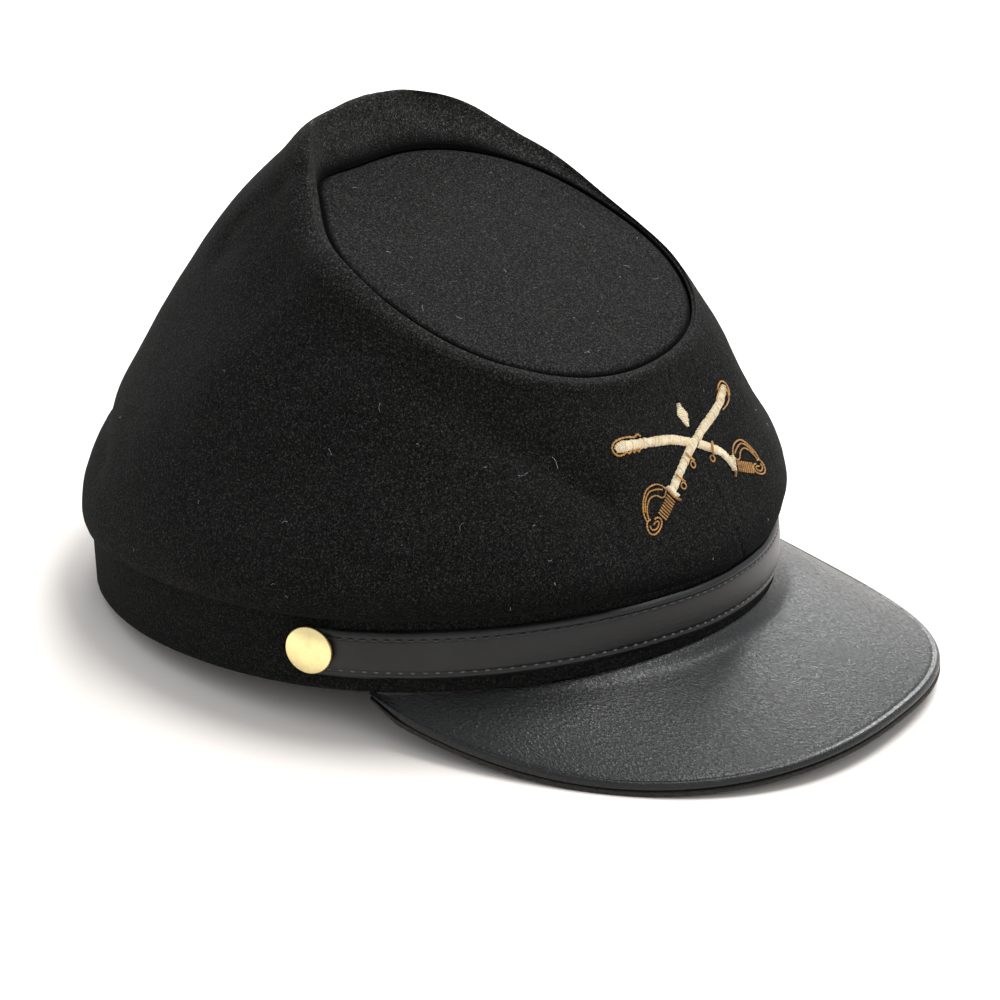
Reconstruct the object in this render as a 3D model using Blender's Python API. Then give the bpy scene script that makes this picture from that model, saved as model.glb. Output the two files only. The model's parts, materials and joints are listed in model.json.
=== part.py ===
"""A soft wool kepi: cloth band, drooping crown with a sunken oval top, leather peak, chin strap and side buttons.

The cap is drawn in its own frame, in metres: the band's lower edge lies in the plane z = 0, the front looks
along -Y and the wearer's left is +X. An empty then tips it back until it stands on its peak and on the back
of its band, as a cap put down on a table does.
"""
import math

import bmesh
import bpy
import numpy as np
from mathutils import Matrix, Vector

# Band, a doubled strip of cloth round the head
BAND_FRONT = 0.0928        # from the middle of the head opening to the front, outside
BAND_REAR = 0.1065         # the same to the back
BAND_HALF_WIDTH = 0.0890   # the same to each side
BAND_TAPER = 0.10          # share by which it narrows towards the front
BAND_HEIGHT = 0.0225
BAND_WALL = 0.0026

# Crown, the cloth side wall from the band up to the oval top
CLOTH_WALL = 0.0020
HEM_WALL = 0.0013          # its edge where it lies on the band

# Oval top
TOP_LENGTH = 0.1000        # along its slope
TOP_WIDTH = 0.1052
TOP_SQUARENESS = 2.22      # 2 is a true oval
TOP_FORWARD = 0.0244       # its middle, ahead of the middle of the head opening
TOP_HEIGHT = 0.0950        # its middle, above the band's lower edge
TOP_TILT = math.radians(26.4)
TOP_THICKNESS = 0.0020
TOP_DOME = 0.0012          # how far its middle stands up above its rim

# Peak, two layers of leather
PEAK_HALF_WIDTH = 0.0852
PEAK_ROOT = 0.0285         # its tips, ahead of the middle of the head opening
PEAK_REACH = 0.1125        # from its tips forward to its front edge
PEAK_SQUARENESS = 2.38
PEAK_DROP = 0.0160         # how far its front edge hangs below the band
PEAK_SIDE_DROP = 0.0280    # extra droop of its sides
PEAK_UPPER = 0.0017        # thickness of the upper layer
PEAK_UNDER = 0.0013        # thickness of the layer below it

# Chin strap
STRAP_WIDTH = 0.0130
STRAP_THICKNESS = 0.0018
STRAP_RAISE = 0.0114       # its middle, above the band's lower edge

# Side buttons
BUTTON_RADIUS = 0.0067
BUTTON_HEIGHT = 0.0030
BUTTON_ANGLE = math.radians(81.0)
BUTTON_RAISE = 0.0012      # its middle, above the middle of the strap
POST_RADIUS = 0.0012
POST_HEAD_RADIUS = 0.0030
POST_HEAD_HEIGHT = 0.0007

# Clearance between pieces that touch on the real cap
GAP = 0.0003

AROUND = 60                # facets round the crown and the band
RISE = 20                  # facets up the crown's side

# Sections of the crown from its hem over the crest to the rim of the oval top: in is the share of the way from the
# band's oval to the crest, up the share of the way from the hem up to it, sink the share of the way from the crest
# down to the rim, and puff and belly are shares of the swellings below.
SECTION_COLUMNS = ("name", "in", "up", "puff", "belly", "sink")
SECTIONS = (
    ("hem", 0.00, 0.00, 0.05, 0.00, 0.0),
    ("roll", 0.00, 0.04, 0.80, 0.05, 0.0),
    ("swell", 0.05, 0.13, 1.00, 0.30, 0.0),
    ("breast", 0.17, 0.27, 0.65, 0.65, 0.0),
    ("lower", 0.34, 0.43, 0.20, 0.90, 0.0),
    ("middle", 0.54, 0.61, 0.00, 1.00, 0.0),
    ("upper", 0.78, 0.81, 0.00, 0.90, 0.0),
    ("crest", 1.00, 1.00, 0.00, 0.00, 0.0),
    ("lip", 1.00, 1.00, 0.00, 0.00, 0.5),
    ("rim", 1.00, 1.00, 0.00, 0.00, 1.0),
)

# The crown every 30 degrees round from the front towards the wearer's left, in metres: height of its hem above the
# band's lower edge, swelling over the band, swelling half way up, height of the crest above the rim of the oval
# top, and distance of the crest outside that rim.
ROUND_COLUMNS = ("name", "hem", "puff", "belly", "crest", "outset")
ROUND = (
    ("front", 0.0195, -0.0004, -0.0022, 0.0003, 0.0020),
    ("front_left", 0.0190, 0.0032, 0.0028, 0.0002, 0.0018),
    ("left_front", 0.0190, 0.0057, 0.0035, 0.0001, 0.0016),
    ("left", 0.0200, 0.0032, 0.0045, 0.0002, 0.0018),
    ("left_rear", 0.0190, 0.0027, 0.0058, 0.0054, 0.0070),
    ("rear_left", 0.0175, 0.0029, 0.0088, 0.0142, 0.0062),
    ("rear", 0.0155, -0.0004, 0.0120, 0.0144, 0.0082),
    ("rear_right", 0.0175, 0.0017, 0.0022, 0.0160, 0.0055),
    ("right_rear", 0.0203, 0.0007, 0.0060, 0.0074, 0.0050),
    ("right", 0.0209, 0.0033, 0.0030, 0.0016, 0.0040),
    ("right_front", 0.0212, 0.0043, 0.0018, 0.0005, 0.0032),
    ("front_right", 0.0207, 0.0020, -0.0004, 0.0004, 0.0026),
)

# Dip of the crest beside its right rear corner: angle and reach in degrees, and depth in metres
DIP = (-134.0, 17.0, 0.0080)

# Soft folds of the cloth, each along a line between two places on the crown. Angles run in degrees from the front
# towards the wearer's left, rises are shares of the way up; reach is the half width and depth the height of the
# fold in metres, outward if positive.
FOLD_COLUMNS = ("name", "from_angle", "from_rise", "to_angle", "to_rise", "reach", "depth")
FOLDS = (
    ("crease_behind_right", -144.0, 0.70, -153.0, 0.62, 0.0060, -0.0016),
    ("hollow_right_rear", -122.0, 0.69, -104.0, 0.66, 0.0120, -0.0026),
    ("crease_right", -92.0, 0.70, -64.0, 0.67, 0.0070, -0.0016),
    ("crease_right_front", -58.0, 0.64, -31.0, 0.475, 0.0055, -0.0026),
    ("swell_right_front", -68.0, 0.40, -42.0, 0.34, 0.0170, 0.0030),
    ("swell_above_crease", -52.0, 0.735, -24.0, 0.60, 0.0070, 0.0010),
    ("crease_left", 96.0, 0.66, 52.0, 0.56, 0.0090, -0.0020),
    ("crease_behind_left", 142.0, 0.68, 150.0, 0.58, 0.0070, -0.0018),
    ("fold_at_rear", -166.0, 0.32, -140.0, 0.30, 0.0045, -0.0012),
)

# Embroidered badge on the front of the crown: two crossed sabres and a lozenge, each raised along a line of places
# on the crown. half_width is in metres.
STITCH_COLUMNS = ("angle", "rise", "half_width")
STITCH_RAISE = 0.0008
STITCHES = {
    "sabre_over": ((20.5, 0.620, 0.0007), (19.3, 0.617, 0.0012), (14.5, 0.602, 0.0012), (8.5, 0.578, 0.0012),
                   (0.5, 0.542, 0.0012), (-6.5, 0.500, 0.0012), (-12.0, 0.455, 0.0012), (-14.5, 0.436, 0.0020),
                   (-18.0, 0.418, 0.0030), (-21.0, 0.385, 0.0026), (-22.2, 0.350, 0.0011)),
    "sabre_under_left": ((-27.0, 0.600, 0.0008), (-25.5, 0.601, 0.0015), (-18.5, 0.603, 0.0012), (-10.0, 0.590, 0.0012),
                         (-2.6, 0.556, 0.0012)),
    "sabre_under_right": ((2.8, 0.520, 0.0012), (7.0, 0.488, 0.0012), (11.0, 0.448, 0.0012), (13.0, 0.428, 0.0020),
                          (16.0, 0.405, 0.0028), (19.5, 0.365, 0.0024), (20.8, 0.335, 0.0011)),
    "lozenge": ((0.2, 0.590, 0.0004), (0.2, 0.605, 0.0013), (0.2, 0.620, 0.0022), (0.2, 0.635, 0.0013), (0.2, 0.650, 0.0004)),
}


def table(columns, rows):
    """The rows as one array of numbers for each column."""
    return {c: np.array([row[i] for row in rows]) for i, c in enumerate(columns) if c != "name"}


def oval(angle, front, rear, half_width, squareness=2.0):
    """Points of an oval; angle 0 is its front, on -Y, and a quarter turn its +X side."""
    c, s = np.cos(angle), np.sin(angle)
    power = 2.0 / squareness
    y = -np.sign(c) * np.abs(c) ** power * np.where(c > 0, front, rear)
    x = half_width * np.sign(s) * np.abs(s) ** power
    return x, y


def band_oval(angle, outset, height):
    """The band's outer face moved outward by outset, at a height given for each angle or for all."""
    x, y = oval(angle, BAND_FRONT + outset, BAND_REAR + outset, BAND_HALF_WIDTH + outset)
    x = x * (1 - BAND_TAPER * np.maximum(np.cos(angle), 0) ** 2)
    return np.stack([x, y, height + 0 * x], -1)


def top_oval(angle, share, lift):
    """A loop on the sloping oval top; share 1 is its rim, and lift is square to its slope."""
    x, along = oval(angle, TOP_LENGTH / 2 * share, TOP_LENGTH / 2 * share, TOP_WIDTH / 2 * share, TOP_SQUARENESS)
    c, s = math.cos(TOP_TILT), math.sin(TOP_TILT)
    return np.stack([x, -TOP_FORWARD + along * c - lift * s, TOP_HEIGHT + along * s + lift * c], -1)


def smooth_rows(values, place, around=False):
    """Catmull-Rom values between evenly spaced rows; place counts rows, and the rows close on themselves if around."""
    count = len(values)
    i = np.floor(place).astype(int)
    if not around:
        i = np.clip(i, 0, count - 2)
    f = place - i
    rows = [(i + k) % count if around else np.clip(i + k, 0, count - 1) for k in (-1, 0, 1, 2)]
    a, b, c, d = (values[r] for r in rows)
    return b + 0.5 * f * (c - a + f * (2 * a - 5 * b + 4 * c - d + f * (3 * b - a - 3 * c + d)))


def crown_form(angle, rise):
    """The crown's outer face before its folds. angle and rise are arrays of one shape; rise runs from 0 to 1.

    Where the crest is low the cloth rolls over it before it drops to the rim, by the share sunk to a power.
    """
    row = {c: smooth_rows(v, rise * (len(SECTIONS) - 1)) for c, v in table(SECTION_COLUMNS, SECTIONS).items()}
    turn = angle / (2 * math.pi) * len(ROUND)
    place = {c: smooth_rows(v, turn, around=True) for c, v in table(ROUND_COLUMNS, ROUND).items()}
    away = (angle - math.radians(DIP[0]) + math.pi) % (2 * math.pi) - math.pi
    place["crest"] = place["crest"] - DIP[2] * np.exp(-((away / math.radians(DIP[1])) ** 2))
    out = np.stack([np.sin(angle), -np.cos(angle), 0 * angle], -1)
    foot = band_oval(angle, GAP + HEM_WALL, place["hem"])
    rim = top_oval(angle, 1 + GAP / (TOP_LENGTH / 2), 0)
    crest = rim + out * place["outset"][..., None]
    crest[..., 2] += place["crest"]
    share = np.stack([row["in"], row["in"], row["up"]], -1)
    swell = place["puff"] * row["puff"] + place["belly"] * row["belly"]
    sink = np.clip(row["sink"], 0, 1)
    fall = sink ** (1 + 1.6 * np.clip(1 - place["crest"] / 0.006, 0, 1))
    drop = (rim - crest) * np.stack([sink, sink, fall], -1)
    return foot + (crest - foot) * share + drop + out * swell[..., None]


def outward(form, angle, rise):
    """Unit normals of a surface function, from small steps along both parameters."""
    step = 1e-3
    across = form(angle + step, rise) - form(angle - step, rise)
    along = form(angle, np.clip(rise + step, 0, 1)) - form(angle, np.clip(rise - step, 0, 1))
    normal = np.cross(across, along)
    return normal / np.linalg.norm(normal, axis=-1, keepdims=True)


def crown_face(angle, rise):
    """The crown's outer face with its folds, each a smooth swelling or dent along a line."""
    face = crown_form(angle, rise)
    push = 0 * rise
    for name, a0, r0, a1, r1, reach, depth in FOLDS:
        start, end = (crown_form(np.array(math.radians(a)), np.array(r)) for a, r in ((a0, r0), (a1, r1)))
        line = end - start
        share = np.clip(((face - start) @ line) / max(line @ line, 1e-12), 0, 1)
        far = np.linalg.norm(face - start - share[..., None] * line, axis=-1)
        push = push + depth * np.exp(-((far / reach) ** 2))
    fade = np.clip(rise / 0.12, 0, 1) * np.clip((1 - rise) / 0.08, 0, 1)
    return face + (push * fade)[..., None] * outward(crown_form, angle, rise)


def solid(name, loops, material, ring=False, crease=40):
    """A solid through closed loops of points, capped at both ends, or joined end to end if it is a ring."""
    mesh = bmesh.new()
    rows = [[mesh.verts.new(p) for p in loop] for loop in loops]
    for low, high in zip(rows, rows[1:] + (rows[:1] if ring else [])):
        for i in range(len(low)):
            j = (i + 1) % len(low)
            mesh.faces.new((low[i], low[j], high[j], high[i]))
    if not ring:
        mesh.faces.new(rows[0][::-1])
        mesh.faces.new(rows[-1])
    bmesh.ops.recalc_face_normals(mesh, faces=mesh.faces)
    data = bpy.data.meshes.new(name)
    mesh.to_mesh(data)
    mesh.free()
    data.materials.append(material)
    data.shade_smooth()
    data.set_sharp_from_angle(angle=math.radians(crease))
    piece = bpy.data.objects.new(name, data)
    bpy.context.scene.collection.objects.link(piece)
    return piece


def finish(name, colour, roughness, metallic=0.0):
    material = bpy.data.materials.new(name)
    material.use_nodes = True
    shader = material.node_tree.nodes["Principled BSDF"]
    shader.inputs["Base Color"].default_value = (*colour, 1.0)
    shader.inputs["Roughness"].default_value = roughness
    shader.inputs["Metallic"].default_value = metallic
    return material


def crown(material):
    """Side wall of the crown: up its outer face, over the crest to the rim, down inside and out over the band."""
    angle = np.linspace(0, 2 * math.pi, AROUND, endpoint=False)
    ledge = BAND_HEIGHT + GAP + CLOTH_WALL
    outer = [crown_face(angle, np.full(AROUND, r)) for r in np.linspace(0, 1, RISE + 1)]

    def lining(rise):
        inside = crown_face(angle, rise) - CLOTH_WALL * outward(crown_face, angle, rise)
        clear = top_oval(angle, 1 + 2 * GAP / (TOP_LENGTH / 2), 0)
        reach = np.linalg.norm(clear[:, :2] + (0, TOP_FORWARD), axis=1) / np.linalg.norm(inside[:, :2] + (0, TOP_FORWARD), axis=1)
        push = np.where(inside[:, 2] > clear[:, 2] - 2 * TOP_THICKNESS, np.maximum(reach, 1), 1)
        inside[:, :2] = (inside[:, :2] + (0, TOP_FORWARD)) * push[:, None] - (0, TOP_FORWARD)
        return inside

    trial = np.linspace(0.02, 0.6, 60)
    heights = np.stack([lining(np.full(AROUND, r))[:, 2] for r in trial])
    lowest = trial[np.argmax(heights > ledge, axis=0)]
    inner = [lining(1 - (1 - lowest) * t) for t in np.linspace(0, 1, RISE)]
    seam = [
        band_oval(angle, -BAND_WALL, ledge),
        band_oval(angle, -BAND_WALL, BAND_HEIGHT + GAP),
        band_oval(angle, GAP, BAND_HEIGHT + GAP),
    ]
    return solid("crown", outer + inner + seam, material, ring=True)


def top_disc(material):
    """The oval top, slightly domed, with its edge turned down into the seam."""
    angle = np.linspace(0, 2 * math.pi, AROUND, endpoint=False)
    over = [(s, TOP_DOME * (1 - s * s)) for s in (0.3, 0.7, 0.93)] + [(0.985, -0.0001), (1.0, -0.0008)]
    under = [(1.0, -TOP_THICKNESS)] + [(s, TOP_DOME * (1 - s * s) - TOP_THICKNESS) for s in (0.9, 0.3)]
    return solid("top_disc", [top_oval(angle, s, lift) for s, lift in over + under], material)


def band(material):
    angle = np.linspace(0, 2 * math.pi, AROUND, endpoint=False)
    soft = 0.0008
    section = ((0, soft), (0, BAND_HEIGHT), (-BAND_WALL, BAND_HEIGHT), (-BAND_WALL, soft), (soft - BAND_WALL, 0), (-soft, 0))
    return solid("band", [band_oval(angle, o, z) for o, z in section], material, ring=True)


def peak_face(turn, share, depth):
    """The peak. turn runs from its right tip to its left tip, share from its root to its edge, depth downwards."""
    s, c = np.sin(turn), np.maximum(np.cos(turn), 0)
    power = 2 / PEAK_SQUARENESS
    reach = c**power
    edge = np.stack([
        PEAK_HALF_WIDTH * np.sign(s) * np.abs(s) ** power,
        -PEAK_ROOT - PEAK_REACH * reach,
        -PEAK_DROP * reach - PEAK_SIDE_DROP * reach * (1 - reach),
    ], -1)
    root_angle = turn * math.acos(PEAK_ROOT / BAND_FRONT) / (math.pi / 2)
    root = band_oval(root_angle, 0, 0)
    root = root - np.stack([np.sin(root_angle), -np.cos(root_angle), 0 * turn], -1) * BAND_WALL
    point = root + (edge - root) * share[..., None]
    point[..., 2] -= GAP + depth
    return point


def peak(name, top, thickness, material):
    """One layer of the peak, from tip to tip; its section runs out along its top and back along its underside."""
    turns = np.radians(np.concatenate([[-89.8, -88, -84, -78], np.linspace(-70, 70, 29), [78, 84, 88, 89.8]]))
    steps = ((0.0, 0.0), (0.25, 0.0), (0.5, 0.0), (0.75, 0.0), (0.985, 0.0), (1.0, 0.35), (1.0, 0.75), (0.985, 1.0),
             (0.75, 1.0), (0.5, 1.0), (0.25, 1.0), (0.0, 1.0))
    loops = [np.array([peak_face(np.array(t), np.array(s), top + thickness * d) for s, d in steps]) for t in turns]
    return solid(name, loops, material)


def chin_strap(material):
    """The strap round the front from button to button, with rounded ends and edges."""
    reach = BUTTON_ANGLE + 0.0055 / BAND_HALF_WIDTH
    length = reach * BAND_HALF_WIDTH
    angles = np.concatenate([[-1, -0.994, -0.982, -0.965, -0.945], np.linspace(-0.92, 0.92, 39), [0.945, 0.965, 0.982, 0.994, 1]])
    loops = []
    for a in angles * reach:
        end = max(0.0, (abs(a) - reach) * BAND_HALF_WIDTH + STRAP_WIDTH / 2) / (STRAP_WIDTH / 2)
        half = STRAP_WIDTH / 2 * math.sqrt(max(1 - end**2, 0.05))
        soft, thick = 0.0005, STRAP_THICKNESS
        section = ((GAP, -half + soft), (GAP + soft, -half), (GAP + thick - soft, -half), (GAP + thick, -half + soft),
                   (GAP + thick, half - soft), (GAP + thick - soft, half), (GAP + soft, half), (GAP, half - soft))
        loops.append(np.array([band_oval(np.array(a), o, STRAP_RAISE + z) for o, z in section]))
    return solid("chin_strap", loops, material)


def button(name, angle, material):
    """A turned button: post head inside the band, post, skirt and a slightly domed face. All one piece."""
    at = band_oval(np.array(angle), 0, STRAP_RAISE + BUTTON_RAISE)
    x, y = band_oval(np.array(angle + 1e-3), 0, 0)[:2] - band_oval(np.array(angle - 1e-3), 0, 0)[:2]
    axis = Vector((y, -x, 0)).normalized()
    across, up = axis.cross(Vector((0, 0, 1))), Vector((0, 0, 1))
    inside, foot = -BAND_WALL - GAP, GAP + STRAP_THICKNESS + GAP
    profile = (
        (POST_HEAD_RADIUS - 0.0003, inside - POST_HEAD_HEIGHT), (POST_HEAD_RADIUS, inside - POST_HEAD_HEIGHT + 0.0002),
        (POST_HEAD_RADIUS, inside), (POST_RADIUS, inside), (POST_RADIUS, foot), (BUTTON_RADIUS * 0.82, foot),
        (BUTTON_RADIUS, foot + 0.0008), (BUTTON_RADIUS, foot + 0.0018), (BUTTON_RADIUS * 0.93, foot + 0.0025),
        (BUTTON_RADIUS * 0.80, foot + 0.0024), (BUTTON_RADIUS * 0.45, foot + BUTTON_HEIGHT - 0.0001),
        (BUTTON_RADIUS * 0.15, foot + BUTTON_HEIGHT),
    )
    turns = np.linspace(0, 2 * math.pi, 24, endpoint=False)
    centre = Vector(at)
    loops = [[centre + axis * d + (across * math.cos(t) + up * math.sin(t)) * r for t in turns] for r, d in profile]
    return solid(name, loops, material), centre, axis


def stitched(name, material):
    """A raised satin-stitched shape that follows the crown along its line of places."""
    rows = np.array(STITCHES[name])
    place = np.linspace(0, len(rows) - 1, 4 * len(rows) - 3)
    angle, rise, half = (smooth_rows(rows[:, i], place) for i in range(3))
    angle = np.radians(angle)
    centre, normal = crown_face(angle, rise), outward(crown_face, angle, rise)
    across = np.cross(normal, np.gradient(centre, axis=0))
    across /= np.linalg.norm(across, axis=1, keepdims=True)
    loops = []
    for c, n, a, w in zip(centre, normal, across, half):
        section = ((-1, 0.0), (-0.97, 0.55), (-0.6, 0.9), (0, 1.0), (0.6, 0.9), (0.97, 0.55), (1, 0.0))
        loops.append(np.array([c + a * w * u + n * (GAP + 0.0002 + STITCH_RAISE * v) for u, v in section]))
    return solid(name, loops, material)


def bore(piece, centre, axis, radius):
    """Cuts a clearance hole for a button's post through a piece."""
    across, up = axis.cross(Vector((0, 0, 1))), Vector((0, 0, 1))
    turns = np.linspace(0, 2 * math.pi, 16, endpoint=False)
    loops = [[centre + axis * d + (across * math.cos(t) + up * math.sin(t)) * radius for t in turns] for d in (-0.008, 0.008)]
    cutter = solid(f"{piece.name}_bore", loops, piece.data.materials[0])
    cutter.hide_render = True
    cutter.display_type = "WIRE"
    cut = piece.modifiers.new("bore", "BOOLEAN")
    cut.operation, cut.solver, cut.object = "DIFFERENCE", "EXACT", cutter
    return cutter


def rest_tilt():
    """The angle the cap tips back to stand on its peak and on the back of its band."""
    turn = np.linspace(-1.5, 1.5, 601)
    low = peak_face(turn, np.ones(601), PEAK_UPPER + GAP + PEAK_UNDER)
    return float(np.max(np.arctan2(-low[:, 2], BAND_REAR - low[:, 1])))


def main():
    for item in list(bpy.data.objects):
        bpy.data.objects.remove(item)
    wool = finish("black_wool", (0.012, 0.012, 0.013), 0.95)
    top_wool = finish("top_wool", (0.013, 0.013, 0.014), 0.95)
    band_wool = finish("band_wool", (0.012, 0.012, 0.013), 0.95)
    leather = finish("peak_leather", (0.015, 0.015, 0.016), 0.38)
    under_leather = finish("peak_under_leather", (0.03, 0.028, 0.027), 0.6)
    strap_leather = finish("strap_leather", (0.017, 0.017, 0.018), 0.45)
    brass = finish("button_brass", (0.82, 0.62, 0.30), 0.2, 1.0)
    thread = finish("badge_thread", (0.78, 0.70, 0.48), 0.7)

    pieces = [
        crown(wool),
        top_disc(top_wool),
        peak("peak", 0.0, PEAK_UPPER, leather),
        peak("peak_underlay", PEAK_UPPER + GAP, PEAK_UNDER, under_leather),
    ]
    pieces += [stitched(name, thread) for name in STITCHES]
    ring, strap = band(band_wool), chin_strap(strap_leather)
    pieces += [ring, strap]
    for name, angle in (("side_button_left", BUTTON_ANGLE), ("side_button_right", -BUTTON_ANGLE)):
        head, centre, axis = button(name, angle, brass)
        pieces += [head, bore(ring, centre, axis, POST_RADIUS + GAP), bore(strap, centre, axis, POST_RADIUS + GAP)]

    turn = Matrix.Rotation(-rest_tilt(), 3, "X")
    corners = np.array([v.co for piece in pieces if not piece.hide_render for v in piece.data.vertices]) @ np.array(turn).T
    low, high = corners.min(axis=0), corners.max(axis=0)
    stand = bpy.data.objects.new("stand", None)
    bpy.context.scene.collection.objects.link(stand)
    stand.rotation_euler = turn.to_euler()
    stand.location = (-(low[0] + high[0]) / 2, -(low[1] + high[1]) / 2, -low[2])
    for piece in pieces:
        piece.parent = stand


main()
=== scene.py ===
"""A soft wool kepi over its solid model: napped cloth, grained leather, turned buttons, a stitched badge.

Shapes are worked out in the cap's own frame, in metres: the band's lower edge lies in z = 0, the front
looks along -Y and the wearer's left is +X. stand() then tips the cap back onto its peak and the back of
its band.
"""
import json
import math

import bmesh
import bpy
import numpy as np
from bpy.props import FloatProperty, FloatVectorProperty, IntProperty, PointerProperty
from mathutils import Matrix, Vector


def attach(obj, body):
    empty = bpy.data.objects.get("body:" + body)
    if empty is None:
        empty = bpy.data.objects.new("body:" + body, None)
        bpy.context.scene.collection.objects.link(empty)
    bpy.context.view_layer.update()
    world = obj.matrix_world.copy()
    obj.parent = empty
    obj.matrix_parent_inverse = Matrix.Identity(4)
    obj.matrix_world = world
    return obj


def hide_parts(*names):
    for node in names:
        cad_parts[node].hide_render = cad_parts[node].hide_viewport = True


bl_info = {
    "name": "Soft wool kepi",
    "version": (1, 0, 0),
    "blender": (4, 5, 0),
    "location": "3D View > Sidebar > Kepi",
    "description": "Dresses the solid kepi with cloth, leather, brass, thread, a floor, lights and a camera",
    "category": "Object",
}

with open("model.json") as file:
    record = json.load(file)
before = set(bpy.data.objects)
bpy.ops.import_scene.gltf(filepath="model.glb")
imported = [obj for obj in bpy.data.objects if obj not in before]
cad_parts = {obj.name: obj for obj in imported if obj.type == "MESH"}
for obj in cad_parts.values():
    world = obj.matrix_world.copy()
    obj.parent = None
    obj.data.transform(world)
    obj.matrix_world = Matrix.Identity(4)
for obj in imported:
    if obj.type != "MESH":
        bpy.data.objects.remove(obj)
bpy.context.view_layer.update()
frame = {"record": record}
FOOT = next(m for m in frame["record"]["mounts"] if m["name"] == "band_foot")

# Sizes shared with the solid model, in metres
BAND_FRONT, BAND_REAR, BAND_HALF_WIDTH, BAND_TAPER = 0.0928, 0.1065, 0.0890, 0.10
BAND_HEIGHT, BAND_WALL = 0.0225, 0.0026
CLOTH_WALL, HEM_WALL = 0.0020, 0.0013
TOP_LENGTH, TOP_WIDTH, TOP_SQUARENESS = 0.1000, 0.1052, 2.22
TOP_FORWARD, TOP_HEIGHT, TOP_TILT = 0.0244, 0.0950, math.radians(26.4)
TOP_THICKNESS, TOP_DOME = 0.0020, 0.0012
PEAK_HALF_WIDTH, PEAK_ROOT, PEAK_REACH, PEAK_SQUARENESS = 0.0852, 0.0285, 0.1125, 2.38
PEAK_DROP, PEAK_SIDE_DROP, PEAK_UPPER, PEAK_UNDER = 0.0160, 0.0280, 0.0017, 0.0013
STRAP_WIDTH, STRAP_THICKNESS, STRAP_RAISE = 0.0130, 0.0018, 0.0114
BUTTON_RADIUS, BUTTON_HEIGHT, BUTTON_ANGLE, BUTTON_RAISE = 0.0067, 0.0030, math.radians(81.0), 0.0012
POST_RADIUS, POST_HEAD_RADIUS, POST_HEAD_HEIGHT = 0.0012, 0.0030, 0.0007
TOP_UP = np.array([0, -math.sin(TOP_TILT), math.cos(TOP_TILT)])
STRAP_REACH = BUTTON_ANGLE + 0.0055 / BAND_HALF_WIDTH
FOOT_REAR = 0.1052         # the foot mount, behind the middle of the head opening
GAP = 0.0003
MM = 0.001

# The crown's sections from its hem over the crest to the rim of the oval top
SECTIONS = {
    "in":    (0, 0, .05, .17, .34, .54, .78, 1, 1, 1),
    "up":    (0, .04, .13, .27, .43, .61, .81, 1, 1, 1),
    "puff":  (.05, .52, .96, .78, .26, 0, 0, 0, 0, 0),
    "belly": (0, .05, .3, .65, .9, 1, .9, 0, 0, 0),
    "sink":  (0, 0, 0, 0, 0, 0, 0, 0, .5, 1),
}
# The crown every 30 degrees from the front towards the wearer's left, in millimetres
ROUND = {
    "hem":    (19.5, 19.0, 19.0, 20.0, 19.0, 17.5, 15.5, 17.5, 20.3, 20.9, 21.2, 20.7),
    "puff":   (-.4, 3.2, 5.7, 3.2, 2.7, 2.9, -.4, 1.7, .7, 3.6, 4.3, 2.0),
    "belly":  (-2.2, 2.8, 3.5, 4.5, 5.8, 8.8, 12.0, 2.2, 6.0, 3.0, 1.8, -.4),
    "crest":  (-.5, -.3, .1, .8, 5.8, 14.6, 14.5, 16.2, 6.2, .5, -.6, -.6),
    "outset": (2.0, 1.8, 1.6, 1.8, 7.0, 6.2, 8.2, 5.5, 5.0, 4.0, 3.2, 2.6),
}
# Dip of the crest beside its corner: angle and reach in degrees, and depth in millimetres
DIP = (-134.0, 17.0, 8.8)
# Folds: from angle and rise, to angle and rise, half width and height in millimetres, outward if positive
FOLDS = (
    (-144, .70, -153, .62, 6.0, -1.6), (-122, .69, -104, .66, 12.0, -2.6), (-92, .70, -64, .67, 7.0, -1.6),
    (-58, .64, -31, .475, 5.5, -2.6), (-68, .40, -42, .34, 17.0, 3.0), (-52, .735, -24, .60, 7.0, 1.0),
    (96, .66, 52, .56, 9.0, -2.0), (142, .68, 150, .58, 7.0, -1.8), (-166, .32, -140, .30, 4.5, -1.2),
)
# Finer folds and dents that only the dressed cloth has
CREASES = (
    (-145, .80, -150, .72, 2.4, -1.2), (-150, .72, -156, .64, 3.2, -.9), (-140, .69, -99, .705, 5.0, -1.1),
    (-99, .705, -64, .69, 5.0, -.7), (152, .86, 148, .93, 7.0, -2.0), (177, .84, 174, .86, 6.0, .8),
    (-38, .515, -30, .465, 2.6, -.9), (-120, .45, -96, .38, 15.0, -.9),
)

# Pulled corner of the oval top: its angle and reach in degrees, and its share of growth
CORNER = (-160.0, 12.0, 0.075)
REAR_SEAM_SHIFT = 0.011    # how far the rear seam leans towards the wearer's left at the crest
SHOULDER = 0.66            # rise up to which the lining follows the wall
# Swellings and falls of the dressed cloth near the crest: rise, reach in rise and height in millimetres
BULGE = (0.757, 0.028, 1.5)
SWELL = (0.875, 0.060, 0.2)
RIM_FALL = (0.95, 0.05, 1.6)
# The seam's line: a groove between two low ridges, each by distance, reach and height in millimetres
SEAM_RIDGE, SEAM_GROOVE = (1.9, 1.2, 0.09), (0, 0.55, -0.26)
# The peak's lip and the groove behind it, by distance from the edge and reach in millimetres
LIP_PLACE, LIP_REACH, LIP_HEIGHT = 0.9, 0.75, 0.42
GROOVE_PLACE, GROOVE_REACH = 2.2, 0.45
PEAK_UPTURN = 2.6          # millimetres that the peak's root turns up against the band

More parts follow.
